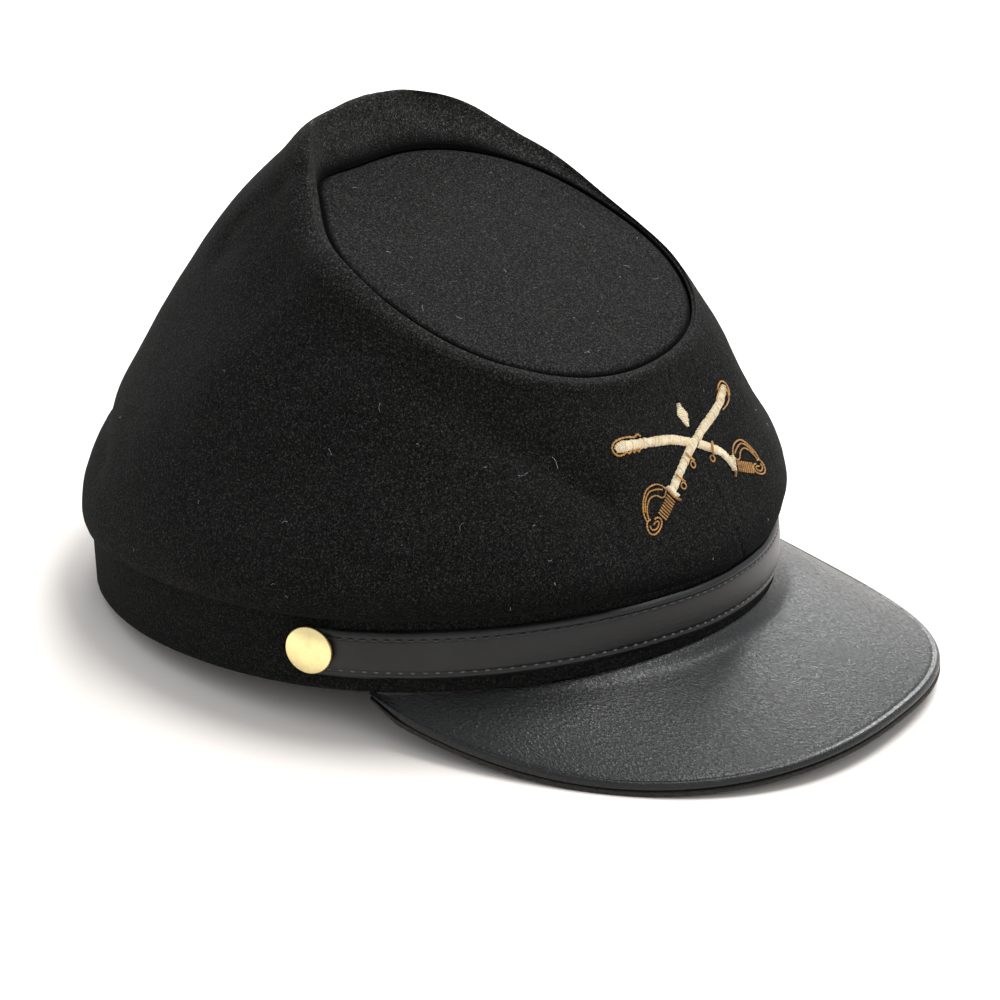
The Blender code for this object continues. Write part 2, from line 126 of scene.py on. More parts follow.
# Line of a sabre on the crown: angle and rise, and half width in millimetres
BLADE_OVER = ((19.0, .620, .6), (18.0, .612, 1.1), (15.5, .599, 1.2), (12.0, .586, 1.2), (8.0, .575, 1.2),
              (4.0, .563, 1.2), (.5, .547, 1.15), (-2.5, .532, 1.2), (-5.5, .513, 1.2), (-8.0, .495, 1.15),
              (-10.5, .474, 1.15), (-12.5, .455, 1.2), (-13.6, .444, 1.2))
BLADE_UNDER_LEFT = ((-26.3, .592, .7), (-25.2, .598, 1.3), (-22.5, .597, 1.3), (-19.0, .595, 1.25),
                    (-15.2, .591, 1.2), (-11.8, .586, 1.2), (-8.5, .580, 1.2), (-5.6, .570, 1.2),
                    (-3.2, .558, 1.2), (-1.6, .549, 1.2))
BLADE_UNDER_RIGHT = ((.7, .535, 1.2), (2.8, .518, 1.2), (4.8, .501, 1.2), (6.5, .485, 1.15),
                     (7.5, .467, 1.1), (8.1, .449, 1.1), (8.6, .434, 1.1))
# A hilt drawn flat, in millimetres from the ferrule: along towards the pommel, and across towards the guard
HILT = {
    "guard": ((1.6, 1.9), (2.2, 3.3), (3.6, 4.9), (5.8, 6.2), (8.3, 7.0), (10.3, 7.0), (12.4, 6.3),
              (14.0, 5.3), (15.2, 4.0), (15.6, 2.4)),
    "guard_middle": ((3.0, 2.9), (4.8, 4.3), (6.5, 5.3), (8.4, 6.1), (10.6, 6.1), (12.5, 5.4), (14.0, 4.2)),
    "guard_inner": ((2.0, 1.8), (3.6, 1.4), (5.2, 2.1), (6.2, 3.4), (7.6, 4.4), (9.5, 5.0), (11.6, 4.8),
                    (13.2, 4.0), (14.2, 3.0), (14.6, 2.0)),
    "pommel": ((14.0, 2.0), (15.6, 2.3), (16.9, 1.3), (17.1, -.2), (16.0, -1.4), (14.2, -1.8), (12.5, -1.7),
               (11.1, -1.2), (10.7, -.2), (11.6, .7), (12.8, 1.0)),
    "pommel_inner": ((15.5, 1.2), (15.8, .1), (14.6, -.8), (13.0, -.9), (12.0, -.3), (12.8, .3), (14.2, .4)),
    "crossguard": ((1.4, 1.0), (.9, -.8), (.1, -2.4), (-.8, -3.5)),
}
WIRES = 8                  # turns of wire round the grip
CROWN_SCALE = (1.62, 80.0)  # millimetres to a degree of angle and to the whole rise, at the badge
# Where a hilt starts on the crown, the place it points to, and the side of its guard
HILT_OVER, HILT_UNDER = ((-13.6, .444), (-21.5, .360), -1), ((8.6, .434), (17.2, .368), 1)
# The sewn bar at a hilt's start, drawn flat in the same way
FERRULE = ((0.7, 1.9), (0.2, 0.2), (-0.5, -1.9))
# Laid threads round the scabbard tips: angle and rise
TIP_OVER = ((13.8, .604), (15.6, .615), (17.8, .623), (19.2, .624), (20.0, .610), (19.6, .594), (18.6, .584),
            (16.8, .578), (14.5, .575))
TIP_OVER_EDGE = ((16.2, .624), (17.8, .632), (19.6, .633), (20.8, .622), (20.9, .606), (20.0, .592))
TIP_UNDER = ((-17.4, .612), (-18.4, .619), (-19.6, .614), (-22.0, .618), (-24.2, .618), (-26.2, .613),
             (-27.2, .603), (-27.2, .591), (-26.6, .582), (-25.6, .577), (-24.4, .579), (-23.6, .583),
             (-22.9, .578), (-21.9, .584), (-21.2, .578), (-20.4, .584), (-19.7, .577), (-18.8, .585))
# Line of the lozenge: angle, rise and half width
LOZENGE = ((.2, .588, .25), (.2, .603, 1.3), (.2, .618, 2.2), (.2, .633, 1.3), (.2, .648, .25))
# Scabbard fittings: angle, rise, and which blade carries them
RINGS = ((-4.9, .517, "over"), (-10.6, .473, "over"), (3.8, .509, "under"))

# Lamps: place, size and share of the key's power
LAMPS = {
    "key": ((0.42, -0.36, 1.6), 0.9, 1.0),
    "back": ((1.15, 0.55, 0.60), 0.8, 0.55),
    "front": ((-0.7, -1.2, 0.9), 0.8, 0.07),
}
LAMP_AIM = Vector((0, 0, 0.05))
# The camera's place, its angles round from the front, up and of roll in degrees, and its lens in millimetres
CAMERA_PLACE = (-0.86223, -0.52716, 0.47352)
CAMERA_ANGLES = (58.492, 23.408, 2.225)
LENS, SENSOR = 142.667, 36.0


def oval(angle, front, rear, half_width, squareness=2.0):
    """A super-ellipse: the cosine and sine raised to 2 over squareness, times the half lengths."""
    c, s = np.cos(angle), np.sin(angle)
    power = 2.0 / squareness
    y = -np.sign(c) * np.abs(c) ** power * np.where(c > 0, front, rear)
    return half_width * np.sign(s) * np.abs(s) ** power, y


def band_oval(angle, outset, height):
    """The band's oval moved out by outset, narrowed towards the front by a share of the cosine squared."""
    x, y = oval(angle, BAND_FRONT + outset, BAND_REAR + outset, BAND_HALF_WIDTH + outset)
    x = x * (1 - BAND_TAPER * np.maximum(np.cos(angle), 0) ** 2)
    return np.stack([x, y, height + 0 * x], -1)


def top_oval(angle, share, lift, corner=1):
    """A loop on the sloping top: the top's oval times share, turned up by the slope and lifted square to it.

    The cloth pulls one corner out: share grows by a bell of the angle round that corner.
    """
    away = (angle - math.radians(CORNER[0]) + math.pi) % (2 * math.pi) - math.pi
    share = share * (1 + corner * CORNER[2] * hump(away, math.radians(CORNER[1])))
    x, along = oval(angle, TOP_LENGTH / 2 * share, TOP_LENGTH / 2 * share, TOP_WIDTH / 2 * share,
                    TOP_SQUARENESS)
    c, s = math.cos(TOP_TILT), math.sin(TOP_TILT)
    return np.stack([x, -TOP_FORWARD + along * c - lift * s, TOP_HEIGHT + along * s + lift * c], -1)


def between(values, place, around=False):
    """Catmull-Rom: a cubic through even values; its slope at each is half the step between neighbours."""
    values = np.asarray(values, float)
    count = len(values)
    i = np.floor(place).astype(int)
    if not around:
        i = np.clip(i, 0, count - 2)
    f = place - i
    rows = [(i + k) % count if around else np.clip(i + k, 0, count - 1) for k in (-1, 0, 1, 2)]
    a, b, c, d = (values[r] for r in rows)
    if values.ndim > 1:
        f = f[..., None]
    return b + 0.5 * f * (c - a + f * (2 * a - 5 * b + 4 * c - d + f * (3 * b - a - 3 * c + d)))


def unit(vectors):
    """Vectors divided by their lengths."""
    return vectors / np.maximum(np.linalg.norm(vectors, axis=-1, keepdims=True), 1e-12)


def lumps(points, size, seed):
    """Smooth random heights from -1 to 1: a seeded cubic lattice blended by 3f squared less 2f cubed."""
    place = points / size
    cell = np.floor(place).astype(int)
    f = place - cell
    f = f * f * (3 - 2 * f)
    lattice = np.random.default_rng(seed).uniform(-1, 1, (24, 24, 24))
    height = 0.0
    for corner in np.ndindex(2, 2, 2):
        at = (cell + corner) % 24
        share = np.prod(np.where(np.array(corner) == 1, f, 1 - f), axis=-1)
        height = height + share * lattice[at[..., 0], at[..., 1], at[..., 2]]
    return height


def hump(distance, reach):
    """A bell: e to the minus square of distance over reach."""
    return np.exp(-((distance / reach) ** 2))


def turns(count):
    """Even angles once round."""
    return np.linspace(0, 2 * math.pi, count, endpoint=False)


def sideways(angle):
    """Level unit vectors away from the middle of the head."""
    return np.stack([np.sin(angle), -np.cos(angle), 0 * angle], -1)


def times(colour, share):
    """A colour's parts times a share."""
    return [c * share for c in colour]


def crown_form(angle, rise):
    """The crown before its folds: from the band's oval in and up to the crest by shares, then to the rim.

    It falls by the share to a power, 2.6 where the crest is low and 2.1 where it is high, so that it rolls
    over before it drops.
    """
    row = {k: between(v, rise * 9) for k, v in SECTIONS.items()}
    place = {k: between(v, angle / (2 * math.pi) * 12, around=True) * MM for k, v in ROUND.items()}
    away = (angle - math.radians(DIP[0]) + math.pi) % (2 * math.pi) - math.pi
    place["crest"] = place["crest"] - DIP[2] * MM * hump(away, math.radians(DIP[1]))
    out = sideways(angle)
    foot = band_oval(angle, GAP + HEM_WALL, place["hem"])
    rim = top_oval(angle, 1 + GAP / (TOP_LENGTH / 2), 0)
    crest = top_oval(angle, 1 + GAP / (TOP_LENGTH / 2), 0, corner=0) + out * place["outset"][..., None]
    crest[..., 2] += place["crest"]
    share = np.stack([row["in"], row["in"], row["up"]], -1)
    swell = place["puff"] * row["puff"] + place["belly"] * row["belly"]
    sink = np.clip(row["sink"], 0, 1)
    high = place["crest"] / (6 * MM)
    fall = sink ** (1 + 1.6 * np.clip(1 - high, 0, 1) + 1.1 * np.clip(high - 1, 0, 1))
    drop = (rim - crest) * np.stack([sink, sink, fall], -1)
    return foot + (crest - foot) * share + drop + out * swell[..., None]


def outward(form, angle, rise):
    """Unit normals of a surface function: the cross product of its small steps along both parameters."""
    step = 1e-3
    across = form(angle + step, rise) - form(angle - step, rise)
    along = form(angle, np.clip(rise + step, 0, 1)) - form(angle, np.clip(rise - step, 0, 1))
    return unit(np.cross(across, along))


def folded(face, folds):
    """Height of the folds at points of the crown: depth times a bell of the distance to each fold's line."""
    push = 0.0
    for a0, r0, a1, r1, reach, depth in folds:
        start, end = crown_form(np.radians([a0, a1]), np.array([r0, r1], float))
        line = end - start
        share = np.clip(((face - start) @ line) / max(line @ line, 1e-12), 0, 1)
        away = np.linalg.norm(face - start - share[..., None] * line, axis=-1)
        push = push + depth * MM * hump(away, reach * MM)
    return push


def crown_cloth(angle, rise):
    """The crown's outer face: its form pushed out along its normal by folds, seams and soft lumps.

    A seam is a bell at either side of the line x = 0, less a sharper bell on it. The rear line leans over.
    """
    face = crown_form(angle, rise)
    fade = np.clip(rise / 0.12, 0, 1) * np.clip((1 - rise) / 0.08, 0, 1)
    push = (folded(face, FOLDS) + folded(face, CREASES)) * fade
    twist = REAR_SEAM_SHIFT * np.clip((rise - 0.35) / 0.4, 0, 1) * (face[..., 1] > 0)
    off = np.abs(face[..., 0] - twist)
    soft = np.clip(rise / 0.05, 0, 1) * np.clip((1 - rise) / 0.04, 0, 1)
    for distance, reach, height in (SEAM_RIDGE, SEAM_GROOVE):
        push = push + height * MM * hump(off - distance * MM, reach * MM) * soft
    push = push + (lumps(face, 0.013, 3) * 0.22 + lumps(face, 0.0052, 4) * 0.09) * MM * soft
    return face + push[..., None] * outward(crown_form, angle, rise)


def rolled(grid, rise, reach):
    """Rounds the crest: points above the shoulder take the bell-weighted mean of those up and down."""
    steps = np.arange(-3 * reach, 3 * reach + 1)
    weights = hump(steps, reach * 1.2)
    rows = np.clip(np.arange(len(grid))[:, None] + steps, 0, len(grid) - 1)
    mean = np.einsum("rkcx,k->rcx", grid[rows], weights / weights.sum())
    share = np.clip((rise - 0.58) / 0.12, 0, 1) * np.clip((1 - rise) / 0.06, 0, 1)
    return grid + (mean - grid) * share[:, None, None]


def peak_cloth(turn, inset, depth, groove=0.0):
    """A peak layer, straight from the band's foot to an edge whose sides droop by reach times 1 - reach.

    The edge is a super-ellipse. inset is the distance back from the edge as a share of the way, depth
    runs downwards, and groove is the depth of the crease that sets off the lip, a bell of the distance to
    the edge. A layer with a groove stops in front of the band and turns up against it, by another bell.
    """
    s, c = np.sin(turn), np.maximum(np.cos(turn), 0)
    power = 2 / PEAK_SQUARENESS
    reach = c**power
    edge = np.stack([
        PEAK_HALF_WIDTH * np.sign(s) * np.abs(s) ** power,
        -PEAK_ROOT - PEAK_REACH * reach,
        -PEAK_DROP * reach - PEAK_SIDE_DROP * reach * (1 - reach),
    ], -1)
    root_angle = turn * math.acos(PEAK_ROOT / BAND_FRONT) / (math.pi / 2)
    root = band_oval(root_angle, 0, 0)
    under_band = -GAP if groove > 0 else BAND_WALL
    root = root - sideways(root_angle) * under_band
    width = np.linalg.norm(edge - root, axis=-1)
    point = root + (edge - root) * (1 - inset)[..., None]
    far = inset * width
    lip = 0.0
    if groove > 0:
        lip = (LIP_HEIGHT * MM * hump(far - LIP_PLACE * MM, LIP_REACH * MM)
               - groove * hump(far - GROOVE_PLACE * MM, GROOVE_REACH * MM)
               + PEAK_UPTURN * MM * c**3 * hump(width - far, PEAK_UPTURN * MM))
    taper = np.clip(width / 0.010, 0, 1)
    taper = taper * taper * (3 - 2 * taper)
    point[..., 2] += lip * taper - GAP - depth * taper + 0.0012 * (1 - taper)
    return point


def stand(points):
    """Turns the cap's frame about X by the lean of its foot mount and moves the mount to its place."""
    lean = math.atan2(-FOOT["axis"][1], -FOOT["axis"][2])
    turn = np.array(Matrix.Rotation(-lean, 3, "X"))
    return points @ turn.T + np.array(FOOT["pos_m"]) - turn @ np.array([0, FOOT_REAR, 0])


def faces_of(rows, columns, ring=False, tube=False):
    """Corner numbers of a grid's faces; ring joins its last and first columns, tube its rows."""
    i, j = np.meshgrid(np.arange(rows - (not tube)), np.arange(columns - (not ring)), indexing="ij")
    corners = ((i, j), (i, j + 1), (i + 1, j + 1), (i + 1, j))
    quads = np.stack([(a % rows) * columns + b % columns for a, b in corners], -1).reshape(-1, 4)
    spots = np.stack([np.stack([b / max(columns - 1, 1), a / max(rows - 1, 1)], -1) for a, b in corners], -2)
    return quads, spots.reshape(-1, 4, 2)


def piece(name, grids, finish, nodes=(), crease=50):
    """One object from grids of points, each (points, ring, tube, capped) with seamless faces of its own."""
    points, faces, spots, start = [], [], [], 0
    for grid, ring, tube, capped in grids:
        rows, columns = grid.shape[:2]
        quads, corners = faces_of(rows, columns, ring, tube)
        points.append(grid.reshape(-1, 3))
        faces += (quads + start).tolist()
        spots.append(corners.reshape(-1, 2))
        if capped:
            middle = np.stack([grid[0].mean(axis=0), grid[-1].mean(axis=0)])
            points.append(middle)
            around = np.arange(columns)
            after = (around + 1) % columns
            at = start + rows * columns
            faces += (np.stack([after, around, around * 0 + at - start], -1) + start).tolist()
            last = start + (rows - 1) * columns
            faces += np.stack([around + last, after + last, around * 0 + at + 1], -1).tolist()
            spots.append(np.tile([[0.0, 0.0], [1.0, 0.0], [0.5, 0.5]], (2 * columns, 1)))
            start += 2
        start += rows * columns
    data = bpy.data.meshes.new(name)
    data.from_pydata(stand(np.concatenate(points)), [], faces)
    data.uv_layers.new(name="UVMap").data.foreach_set("uv", np.concatenate(spots).ravel())
    mesh = bmesh.new()
    mesh.from_mesh(data)
    bmesh.ops.recalc_face_normals(mesh, faces=mesh.faces)
    mesh.to_mesh(data)
    mesh.free()
    data.materials.append(finish)
    data.shade_smooth()
    data.set_sharp_from_angle(angle=math.radians(crease))
    item = bpy.data.objects.new(name, data)
    bpy.context.scene.collection.objects.link(item)
    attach(item, "root")
    if nodes:
        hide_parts(*nodes)
    return item


def threads(paths, normals, radius, sides=6):
    """Tubes along many paths at once: a circle round each point, square to the path."""
    ahead = np.gradient(paths, axis=1)
    side = unit(np.cross(ahead, normals))
    up = unit(np.cross(side, ahead))
    turn = turns(sides)
    radius = np.broadcast_to(radius, paths.shape[:2])[..., None, None]
    circle = side[:, :, None] * np.cos(turn)[:, None] + up[:, :, None] * np.sin(turn)[:, None]
    return paths[:, :, None] + circle * radius


def each(tubes):
    """The grids of many tubes, closed round and at both ends."""
    return [(tube, True, False, True) for tube in tubes]


class Socket:
    """A socket of a finish. Arithmetic between sockets and numbers adds Math nodes."""

    def __init__(self, finish, out):
        self.finish, self.out = finish, out

    def maths(self, operation, *values):
        return self.finish.node("ShaderNodeMath", {"operation": operation}, values)

    def __add__(self, other):
        return self.maths("ADD", self, other)

    def __sub__(self, other):
        return self.maths("SUBTRACT", self, other)

    def __rsub__(self, other):
        return self.maths("SUBTRACT", other, self)

    def __mul__(self, other):
        return self.maths("MULTIPLY", self, other)

    def over(self, low, high):
        """0 below low, 1 above high, straight between."""
        return self.finish.node("ShaderNodeMapRange", {"clamp": True},
                                {"Value": self, "From Min": low, "From Max": high})

    __radd__ = __add__
    __rmul__ = __mul__


class Finish:
    """A material in the making, with one method that adds any node."""

    def __init__(self, name, **fixed):
        self.material = bpy.data.materials.new(name)
        self.material.use_nodes = True
        self.tree = self.material.node_tree
        self.shader = self.tree.nodes["Principled BSDF"]
        self.show(**fixed)
        self.place = self.node("ShaderNodeTexCoord", out="Object")

    def node(self, kind, settings=None, values=(), out=0):
        """Adds a node: its settings first, then the numbers or links of its sockets by number or by name."""
        node = self.tree.nodes.new(kind)
        for key, value in (settings or {}).items():
            setattr(node, key, value)
        pairs = values.items() if isinstance(values, dict) else enumerate(values)
        for key, value in pairs:
            self.feed(node.inputs[key], value)
        return Socket(self, node.outputs[out])

    def feed(self, socket, value):
        if isinstance(value, Socket):
            self.tree.links.new(value.out, socket)
        else:
            socket.default_value = (*value, 1.0) if socket.type == "RGBA" and len(value) == 3 else value

    def show(self, **values):
        """Sets or links sockets of the shader, named in lower case with underscores."""
        names = {s.name.lower().replace(" ", "_"): s for s in self.shader.inputs}
        for key, value in values.items():
            self.feed(names[key], value)

    def noise(self, scale, detail=2.0, roughness=0.5, distortion=0.0, place=None):
        """Soft random pattern; scale counts waves per metre."""
        values = {"Vector": place or self.place, "Scale": scale, "Detail": detail, "Roughness": roughness,
                  "Distortion": distortion}
        return self.node("ShaderNodeTexNoise", None, values)

    def cells(self, scale, feature="F1", place=None, **values):
        """Distance to the nearest of many scattered points; scale counts points per metre."""
        return self.node("ShaderNodeTexVoronoi", {"feature": feature},
                         {"Vector": place or self.place, "Scale": scale, **values})

    def stretched(self, scale, turn=(0, 0, 0)):
        """The place scaled and turned, so that a pattern runs one way."""
        return self.node("ShaderNodeMapping", None, {"Vector": self.place, "Rotation": turn, "Scale": scale})

    def shaken(self, amount, scale, place=None):
        """The place moved about by a soft random offset of amount metres."""
        place = place or self.place
        offset = self.node("ShaderNodeTexNoise", None, {"Vector": place, "Scale": scale, "Detail": 2.0},
                           "Color")
        centred = self.node("ShaderNodeVectorMath", {"operation": "SUBTRACT"}, [offset, (0.5, 0.5, 0.5)])
        return self.node("ShaderNodeVectorMath", {"operation": "MULTIPLY_ADD"},
                         [centred, (amount,) * 3, place])

    def second(self, vector):
        """The second part of a place or of UV coordinates."""
        return self.node("ShaderNodeSeparateXYZ", None, [vector], 1)

    def mix(self, share, first, second):
        """A colour between two colours."""
        return self.node("ShaderNodeMix", {"data_type": "RGBA"}, {0: share, 6: first, 7: second}, 2)

    def bump(self, height, distance, strength=1.0, under=None):
        """Tilts the surface by a height pattern; distance is the height in metres."""
        values = {"Strength": strength, "Distance": distance, "Height": height}
        if under:
            values["Normal"] = under
        return self.node("ShaderNodeBump", None, values)


def wool(name, dark, light, nap, seam, painted_light=False):
    """Milled wool cloth: a fine even tangle of fibres, softer tufts, cloudy wear and pale fibre ends.

    seam is the span of the second UV coordinate over which painted shade darkens the cloth into the top's
    seam, for the shadow in the groove there. The flag after it paints shade on the crown's first rows at the
    front, where it turns under above the strap, and paints light on the roll of its crest by lighter copies
    of the wool.
    """
    f = Finish(name, roughness=0.95, sheen_weight=0.02, sheen_roughness=0.5, sheen_tint=(0.9, 0.9, 0.9),
               specular_ior_level=0.03)
    fuzz = f.noise(1500, 2, 0.7, 0.3)
    grit = f.noise(2900, 1, 0.6)
    tuft = f.noise(620, 3, 0.6, 0.4)
    cloud = f.noise(50, 3, 0.55)
    tangle = fuzz * 0.5 + grit * 0.5
    ends = tangle.over(0.55, 0.70)
    shade = tangle.over(0.40, 0.60) * 0.72 + tuft.over(0.35, 0.65) * 0.18 + cloud.over(0.3, 0.7) * 0.10
    colour = f.mix(ends * 0.9, f.mix(shade, dark, light), nap)
    up = f.second(f.node("ShaderNodeUVMap"))
    if painted_light:
        # Painted shade: near-black on the crown's lowest rows at the front, where the cloth turns under above
        # the strap
        back = f.second(f.place).over(-0.02, 0.05)
        free_of_painted_shade = up.over(0.03, 0.20) * 0.85 + 0.15
        colour = f.mix(free_of_painted_shade + (1 - free_of_painted_shade) * back, (0.0004, 0.0004, 0.0004), colour)
        # Painted light: lighter copies of the wool's colours on the roll of the crest
        crest_painted_light = f.mix(ends, f.mix(shade, times(dark, 2.2), times(light, 2.2)), times(nap, 1.8))
        colour = f.mix(up.over(0.545, 0.60), colour, crest_painted_light)
    # Painted shade: darker over the seam's span, for the shadow in the groove at the top's seam
    if seam:
        colour = f.mix(up.over(*seam), colour, (0.0009, 0.0009, 0.0009))
    f.show(base_color=colour,
           normal=f.bump(tangle, 0.0005, 0.75, f.bump(tuft, 0.0006, 0.4)))
    return f.material


def grained_leather(name, dark, light, grain, gloss, depth):
    """Leather with a pebbled grain: wrinkles drawn out one way, small cells and rubbed tops."""
    f = Finish(name, specular_ior_level=0.34)
    place = f.stretched((1.0, 0.42, 1.0), (0.0, 0.0, 0.5))
    wrinkle = f.noise(grain, 2, 0.55, 0.6, place)
    pebble = f.cells(grain * 1.25, "SMOOTH_F1", f.shaken(0.0004, 900, place), Smoothness=0.4)
    wear = f.noise(38, 3, 0.6)
    height = wrinkle.over(0.3, 0.7) * 0.75 + (1 - pebble) * 0.35
    crease = 1 - wrinkle.over(0.36, 0.56)
    f.show(base_color=f.mix(wear.over(0.35, 0.75) * 0.5, f.mix(crease, light, dark), light),
           roughness=crease * 0.25 + wear.over(0.3, 0.7) * 0.1 + gloss,
           normal=f.bump(height, depth, 1.0))
    return f.material


def smooth_leather(name, dark, light, gloss):
    """Dressed strap leather: nearly smooth, with fine lines along it, faint pores and dull patches."""
    f = Finish(name, specular_ior_level=0.38)
    lines = f.noise(650, 4, 0.6, 0.3, f.shaken(0.0008, 300, f.stretched((0.6, 0.6, 2.2))))
    pores = f.noise(2600, 3, 0.6)
    patch = f.noise(60, 3, 0.6)
    f.show(base_color=f.mix(patch.over(0.4, 0.75), dark, light),
           roughness=patch * 0.16 + pores * 0.1 + gloss,
           normal=f.bump(lines * 0.7 + pores * 0.3, 0.00012, 0.8))
    return f.material


def brass(name, gold, deep):
    """Polished brass: pale gold face, browner rim, with fine turning and handling marks."""
    f = Finish(name, metallic=1.0)
    way = f.second(f.node("ShaderNodeUVMap"))
    rim = way.over(0.10, 0.18) * (1 - way.over(0.43, 0.47))
    marks = f.noise(900, 4, 0.6)
    cloud = f.noise(260, 3, 0.6)
    f.show(base_color=f.mix(rim * 0.75 + cloud.over(0.5, 0.8) * 0.2, gold, deep),
           roughness=marks * 0.12 + cloud * 0.08 + 0.18,
           normal=f.bump(marks, 0.00002, 0.5))
    return f.material


def thread(name, light, deep, twist, gloss=0.45):
    """Embroidery thread: fine twisted strands, a soft shine and small changes of shade."""
    f = Finish(name, sheen_weight=0.3, sheen_roughness=0.4, specular_ior_level=0.5)
    strand = f.noise(twist, 3, 0.6, 0.4, f.stretched((1.0, 1.0, 0.35), (0.4, 0.6, 0.2)))
    patch = f.noise(420, 3, 0.6)
    f.show(base_color=f.mix(strand.over(0.35, 0.62) * 0.55 + patch.over(0.38, 0.62) * 0.45, deep, light),
           roughness=strand * 0.2 + gloss,
           normal=f.bump(strand, 0.00016, 0.9))
    return f.material


def plain(name, colour, roughness):
    """A matt floor with a barely uneven tone."""
    f = Finish(name, specular_ior_level=0.2)
    f.show(base_color=f.mix(f.noise(3, 2, 0.5).over(0.3, 0.7) * 0.3, colour, times(colour, 0.985)),
           roughness=roughness)
    return f.material


def measure(name, description, value, low, high, digits):
    """A length of the panel, in metres."""
    return FloatProperty(name=name, description=description, default=value, min=low, max=high,
                         unit="LENGTH", precision=digits)


def tint(name, description, value):
    """A colour of the panel."""
    return FloatVectorProperty(name=name, description=description, subtype="COLOR", size=3, default=value,
                               min=0, max=1)


class KepiCloth(bpy.types.PropertyGroup):
    around: IntProperty(name="Columns", description="Faces round the crown", default=400, min=60, max=600)
    rise: IntProperty(name="Rows", description="Faces up the crown's side", default=136, min=20, max=200)
    hem: measure("Hem", "Thickness of the crown's rolled hem", 0.0013, 0.0008, 0.0013, 4)
    dark: tint("Dark wool", "Colour deep in the nap", (0.0011, 0.0011, 0.0010))
    light: tint("Light wool", "Colour on the nap", (0.0142, 0.0141, 0.0136))
    nap: tint("Pale fibres", "Colour of stray fibres", (0.058, 0.058, 0.056))
    lint: IntProperty(name="Lint", description="Loose fibres lying on the cloth", default=90, min=0, max=600)


class KepiLeather(bpy.types.PropertyGroup):
    groove: measure("Lip groove", "Depth of the groove behind the peak's lip", 0.00014, 0.00005, 0.0006, 5)
    pitch: measure("Stitch pitch", "Distance between stitches of the strap", 0.0030, 0.002, 0.006, 4)
    dark: tint("Dark leather", "Colour in the grain's creases", (0.0030, 0.0031, 0.0033))
    light: tint("Light leather", "Colour of the grain's rubbed tops", (0.0095, 0.0098, 0.0103))


class KepiTrim(bpy.types.PropertyGroup):
    strand: measure("Thread", "Radius of a satin stitch's thread", 0.00020, 0.0001, 0.0004, 5)
    cream: tint("Cream thread", "Colour of the blades", (0.82, 0.74, 0.57))
    gold: tint("Gold thread", "Colour of the hilts and fittings", (0.62, 0.30, 0.065))
    brass: tint("Brass", "Colour of the buttons", (1.0, 0.84, 0.42))


class KepiStage(bpy.types.PropertyGroup):
    floor: tint("Floor", "Colour of the floor", (0.93, 0.875, 0.83))
    sky: FloatProperty(name="Sky", description="Strength of the even light from all sides", default=0.76,
                       min=0, max=3)
    key: FloatProperty(name="Key", description="Power of the large light above", default=23.0, min=0,
                       subtype="POWER")


class KEPI_OT_crown(bpy.types.Operator):
    """Make the soft side wall of the crown, from its rolled hem over the crest to the oval top's seam"""
    bl_idname = "kepi.crown"
    bl_label = "Crown"

    def execute(self, context):
        """The cloth, its crest rounded, with a bulge and a swell by bells of the rise and a fall to the rim.

        These three are weighted by near, half of one minus the sine of the angle, to the power 1.3.
        """
        look = context.scene.kepi_cloth
        even = turns(look.around)
        angle = even - 0.32 * np.sin(2 * even)
        rows = np.linspace(0, 1, look.rise + 1)
        ledge = BAND_HEIGHT + GAP + CLOTH_WALL
        outer = rolled(crown_cloth(*np.meshgrid(angle, rows)), rows, 3)
        out = sideways(angle)
        near = (0.5 - 0.5 * np.sin(angle)) ** 1.3
        bulge = BULGE[2] * MM * hump(rows - BULGE[0], BULGE[1])
        outer += (bulge[:, None] * near)[..., None] * (out + 0.8 * TOP_UP)
        drop = RIM_FALL[2] * MM * np.clip((rows - RIM_FALL[0]) / RIM_FALL[1], 0, 1) ** 2
        swell = SWELL[2] * MM * hump(rows - SWELL[0], SWELL[1])
        outer += (swell - drop)[:, None, None] * near[:, None] * TOP_UP

        def lining(rise):
            """The form moved in by the wall up to the shoulder, then straight to just under the top's rim."""
            turn = np.broadcast_to(angle, rise.shape)
            low = np.minimum(rise, SHOULDER)
            face = crown_form(turn, low)
            inside = face + (folded(face, FOLDS) - CLOTH_WALL)[..., None] * outward(crown_form, turn, low)
            rim = top_oval(turn, 1 + 2 * GAP / (TOP_LENGTH / 2), -0.6 * MM + 0 * turn)
            return inside + (rim - inside) * np.clip((rise - SHOULDER) / (1 - SHOULDER), 0, 1)[..., None]

        trial = np.linspace(0.02, 0.6, 60)[:, None] + 0 * angle
        lowest = trial[np.argmax(lining(trial)[..., 2] > ledge, axis=0), 0]
        inner = lining(1 - (1 - lowest) * np.linspace(0, 1, 40)[:, None])
        hem = between(ROUND["hem"], angle / (2 * math.pi) * 12, around=True) * MM
        half = look.hem / 2
        seam = [band_oval(angle, -BAND_WALL, ledge), band_oval(angle, -BAND_WALL, BAND_HEIGHT + GAP),
                band_oval(angle, GAP, BAND_HEIGHT + GAP), band_oval(angle, GAP, hem + half)]
        seam += [band_oval(angle, GAP + half - half * math.cos(t), hem + half - half * math.sin(t))
                 for t in (0.5, 1.0, 1.57, 2.1, 2.6)]
        grid = np.concatenate([outer, inner, np.stack(seam)])
        # The crown's wool, with painted shade in the top's seam and above the strap and painted light on the
        # crest's roll
        cloth = wool("black_wool", look.dark, look.light, look.nap, (0.700, 0.728), True)
        piece("crown_cloth", [(grid, True, True, False)], cloth, ["crown"])
        return {"FINISHED"}


